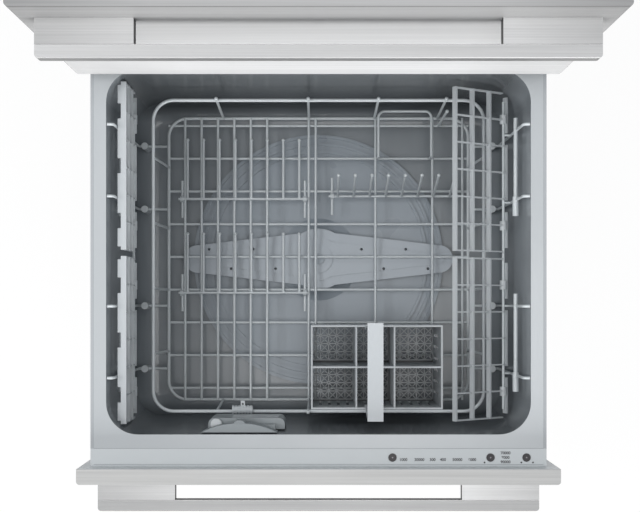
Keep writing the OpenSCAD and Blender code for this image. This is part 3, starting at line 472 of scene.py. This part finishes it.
# The marks on a control strip: number and x of the row, number and y of the column.
NUMBER_ROW = [
    ("1000", 106), ("20000", 126), ("300", 142.5), ("400", 155.5), ("50000", 173.5), ("6000", 192)]
NUMBER_ROW_Y = 28.0
NUMBER_COLUMN = [("70000", 36.35), ("8000", 30.75), ("90000", 25.15)]
NUMBER_COLUMN_X = 233.7
DOTS_X = (207.5, 253.5, 268)
DOTS_Y = 24.6
STRIP_DOT = (0.0011, 0.0001)
MARK_Z = 0.06                    # middle of the print, over the strip's top
MARK_HEIGHT = 0.0050
MARK_SWELL = 0.00012             # how much wider its strokes are than the font's
MARK_DEPTH = 0.00005
BUTTONS = ("programme", "option", "power")
BUTTON_DOT = (0.0009, 0.00012)


def add_number(mesh, text, place):
    """A number in thin raised print, centred on a place."""
    curve = bpy.data.curves.new("mark", "FONT")
    curve.body = text
    curve.size = MARK_HEIGHT
    curve.align_x = "CENTER"
    curve.align_y = "CENTER"
    curve.offset = MARK_SWELL
    curve.extrude = MARK_DEPTH
    label = bpy.data.objects.new("mark", curve)
    flat = label.to_mesh()
    flat.transform(Matrix.Translation(place))
    mesh.from_mesh(flat)
    label.to_mesh_clear()
    bpy.data.objects.remove(label)


def make_marks():
    """Plain numbers and dots on the control strips, where the machine has words."""
    for level in LEVELS:
        mesh = bmesh.new()
        for text, x in NUMBER_ROW:
            add_number(mesh, text, in_drawer(level, x, NUMBER_ROW_Y, MARK_Z))
        for text, y in NUMBER_COLUMN:
            add_number(mesh, text, in_drawer(level, NUMBER_COLUMN_X, y, MARK_Z))
        for x in DOTS_X:
            add_disc(mesh, in_drawer(level, x, DOTS_Y, 0), UP, *STRIP_DOT, segments=12)
        new_piece(level + "_marks", mesh, PRINT_AND_RECESS_SHADE, level + "_drawer")
        for name in BUTTONS:
            button = level + "_" + name
            low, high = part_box(button + "_button")
            top = Vector(((low.x + high.x) / 2, (low.y + high.y) / 2, high.z))
            mesh = bmesh.new()
            add_disc(mesh, top, UP, *BUTTON_DOT, segments=16)
            new_piece(button + "_dot", mesh, PALE, button + "_push")


# The clip on the front of the basket's rim loop: its left end, its knurls and the barrel between
# them, two corners of its lever and the middle of the lever's eye.
CLIP_X = -115
LOOP_Y = 82
LOOP_Z = -105.4
KNURLS = 7
KNURL_PITCH = 4
KNURL = (0.0056, 0.0026)
BARREL = (0.0046, 0.0270)
LEVER_CORNERS = ((-103.5, 83, -106.5), (-98, 94, -103))
LEVER_EYE = (-100.75, 89.5, -103)
EYE = (0.0014, 0.0001)


def make_clip():
    """The knurled clip with a lever on the front of the basket's rim loop."""
    mesh = bmesh.new()
    for i in range(KNURLS):
        place = in_drawer("lower", CLIP_X + KNURL_PITCH * i, LOOP_Y, LOOP_Z)
        add_disc(mesh, place, RIGHT, *KNURL)
    add_disc(mesh, in_drawer("lower", CLIP_X + 0.5, LOOP_Y, LOOP_Z), RIGHT, *BARREL)
    add_box(mesh, *[in_drawer("lower", *corner) for corner in LEVER_CORNERS])
    new_piece("lower_loop_clip", mesh, MATERIALS["rack_plastic"], "lower_basket")
    # A dark disc of painted shade for the lever's eye.
    mesh = bmesh.new()
    add_disc(mesh, in_drawer("lower", *LEVER_EYE), UP, *EYE)
    new_piece("lower_clip_eye", mesh, PRINT_AND_RECESS_SHADE, "lower_basket")


# The lattice on the cutlery basket's floor: three blocks of cells side by side, twice over. All
# its sizes are in millimetres.
LATTICE_X = 78
LATTICE_Y = 138.1
LATTICE_BLOCKS = [(-57.728, 5), (-1.936, 4), (55.792, 5)]     # middle, columns of cells
LATTICE_SIDE_Y = 28              # from the lattice's middle to the middle of either half
CELL_ROWS = 4
CELL_X = 11.616
CELL_Y = 11.6667
FRAME_BAR = (1.5, 1.6)           # width and height
CROSS_BAR = (1.1, 1.3)
# The ribs along the basket's strap: middle of the strap, ribs and their ends, foot and top, all
# in millimetres.
STRAP_X = 72
STRAP_RIBS = 9
STRAP_RIB_PITCH = 2.4
STRAP_RIB_WIDTH = 0.8
STRAP_RIB_Y = (77, 196)
STRAP_RIB_Z = (-17.1, -16.7)


def add_floor_bar(mesh, start, end, bar):
    """A bar on the cutlery basket's floor between two points counted from the lattice's middle."""
    width, height = bar
    middle_z = (CUTLERY_FLOOR_Z - ORIGIN["lower"].z) * 1000 + height / 2
    ends = [in_drawer("lower", LATTICE_X + x, LATTICE_Y + y, middle_z) for x, y in (start, end)]
    add_bar(mesh, *ends, width / 1000, height / 1000)


def add_lattice(mesh, middle, columns, side):
    """One block of square cells with crossed bars in each."""
    left = middle - columns * CELL_X / 2
    front = side * LATTICE_SIDE_Y - CELL_ROWS * CELL_Y / 2
    right = left + columns * CELL_X
    back = front + CELL_ROWS * CELL_Y
    for i in range(columns + 1):
        x = left + i * CELL_X
        add_floor_bar(mesh, (x, front), (x, back), FRAME_BAR)
    for k in range(CELL_ROWS + 1):
        y = front + k * CELL_Y
        add_floor_bar(mesh, (left, y), (right, y), FRAME_BAR)
    for i in range(columns):
        for k in range(CELL_ROWS):
            x, y = left + i * CELL_X, front + k * CELL_Y
            add_floor_bar(mesh, (x, y), (x + CELL_X, y + CELL_Y), CROSS_BAR)
            add_floor_bar(mesh, (x, y + CELL_Y), (x + CELL_X, y), CROSS_BAR)


def make_cutlery_details():
    """Thin crossed bars in the cells of the cutlery basket's floor, and fine ribs on its strap."""
    mesh = bmesh.new()
    for middle, columns in LATTICE_BLOCKS:
        for side in (-1, 1):
            add_lattice(mesh, middle, columns, side)
    for i in range(STRAP_RIBS):
        x = STRAP_X + STRAP_RIB_PITCH * (i - (STRAP_RIBS - 1) / 2)
        low = in_drawer("lower", x - STRAP_RIB_WIDTH / 2, STRAP_RIB_Y[0], STRAP_RIB_Z[0])
        high = in_drawer("lower", x + STRAP_RIB_WIDTH / 2, STRAP_RIB_Y[1], STRAP_RIB_Z[1])
        add_box(mesh, low, high)
    material = MATERIALS["rack_plastic"]
    new_piece("lower_cutlery_lattice", mesh, material, "lower_cutlery")


# Screws: their heads and slots, and their places on the back panel, in metres too, and on the
# side frames.
SCREW_RADIUS = 0.0042
SCREW_TOP_RADIUS = 0.0030
SCREW_EDGE = 0.0009              # height of the head's upright edge
SCREW_DOME = 0.0007              # height of the cone on it
SLOT_HEIGHT = 0.00162            # of the slots' middle over the sheet
SLOT_HALF = 0.0019
SLOT_WIDTH = 0.0006
BACK_SHEET = 0.0012              # thickness of the back panel's sheet
BACK_SIDE_X = 0.27
BACK_SIDE_Z = [0.09 + 0.134 * row for row in range(6)]
BACK_TOP_X = (-0.13, 0, 0.13)
BACK_TOP_Z = 0.795
FRAME_SCREWS_Y = (75, 180, 300, 420, 500)
FRAME_SCREWS_Z = (-35, -128)


def screw_spots():
    """Every screw's place and outward direction, by the body that it rides on."""
    spots = {"cabinet": []}
    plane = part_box("back_panel")[0].y + BACK_SHEET
    for x in (-BACK_SIDE_X, BACK_SIDE_X):
        for z in BACK_SIDE_Z:
            spots["cabinet"].append((Vector((x, plane, z)), BACK))
    for x in BACK_TOP_X:
        spots["cabinet"].append((Vector((x, plane, BACK_TOP_Z)), BACK))
    for level in LEVELS:
        spots[level + "_drawer"] = []
        frame_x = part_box(level + "_side_frames")[1].x * 1000
        for side in (-1, 1):
            for y in FRAME_SCREWS_Y:
                for z in FRAME_SCREWS_Z:
                    place = in_drawer(level, side * frame_x, y, z)
                    spots[level + "_drawer"].append((place, Vector((side, 0, 0))))
    return spots


def make_screws():
    """Pan-head screws in the back panel and the side frames, with dark bars of painted shade for
    their crossed slots.
    """
    for body, spots in screw_spots().items():
        heads, slots = bmesh.new(), bmesh.new()
        for place, axis in spots:
            rim = place + axis * SCREW_EDGE
            add_disc(heads, place, axis, SCREW_RADIUS, SCREW_EDGE, segments=20)
            add_disc(heads, rim, axis, SCREW_RADIUS, SCREW_DOME, SCREW_TOP_RADIUS, segments=20)
            top = place + axis * SLOT_HEIGHT
            for across in (BACK if abs(axis.x) > 0.5 else RIGHT, UP):
                reach = across * SLOT_HALF
                add_bar(slots, top - reach, top + reach, SLOT_WIDTH, SLOT_WIDTH)
        new_piece(body + "_screws", heads, MATERIALS["coated_sheet"], body)
        # Dark bars of painted shade for the screws' crossed slots.
        new_piece(body + "_screw_slots", slots, PRINT_AND_RECESS_SHADE, body)


# The lines on a drawer's top, in millimetres: y of the strip's groove and of its joint with the
# tub, and the lines down the flange.
STRIP_LINES_Y = (22.1, 42.1)
STRIP_LINE_WIDTH = 0.5
STRIP_LINE_HALF_X = 281
FLANGE_LINE_WIDTH = 0.4
FLANGE_LINE_Y = (42, 525)
LINE_Z = (-0.4, 0.06)            # the lines' lowest and highest point


def make_seams():
    """The dark joint between each control strip and its tub, a groove in the strip and the lines
    down the sides of the tub's flange."""
    for level in LEVELS:
        mesh = bmesh.new()
        for y in STRIP_LINES_Y:
            front, back = y - STRIP_LINE_WIDTH / 2, y + STRIP_LINE_WIDTH / 2
            low = in_drawer(level, -STRIP_LINE_HALF_X, front, LINE_Z[0])
            add_box(mesh, low, in_drawer(level, STRIP_LINE_HALF_X, back, LINE_Z[1]))
        for x in (edge.x * 1000 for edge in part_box(level + "_tub")):
            left, right = x - FLANGE_LINE_WIDTH / 2, x + FLANGE_LINE_WIDTH / 2
            low = in_drawer(level, left, FLANGE_LINE_Y[0], LINE_Z[0])
            add_box(mesh, low, in_drawer(level, right, FLANGE_LINE_Y[1], LINE_Z[1]))
        new_piece(level + "_flange_seam", mesh, SEAM, level + "_drawer")


# ---- The scene -----------------------------------------------------------------------
bpy.context.scene.view_settings.view_transform = "Standard"
make_camera()
make_light()
make_floor()
dress_nodes()
make_marks()
make_clip()
make_cutlery_details()
make_screws()
make_seams()
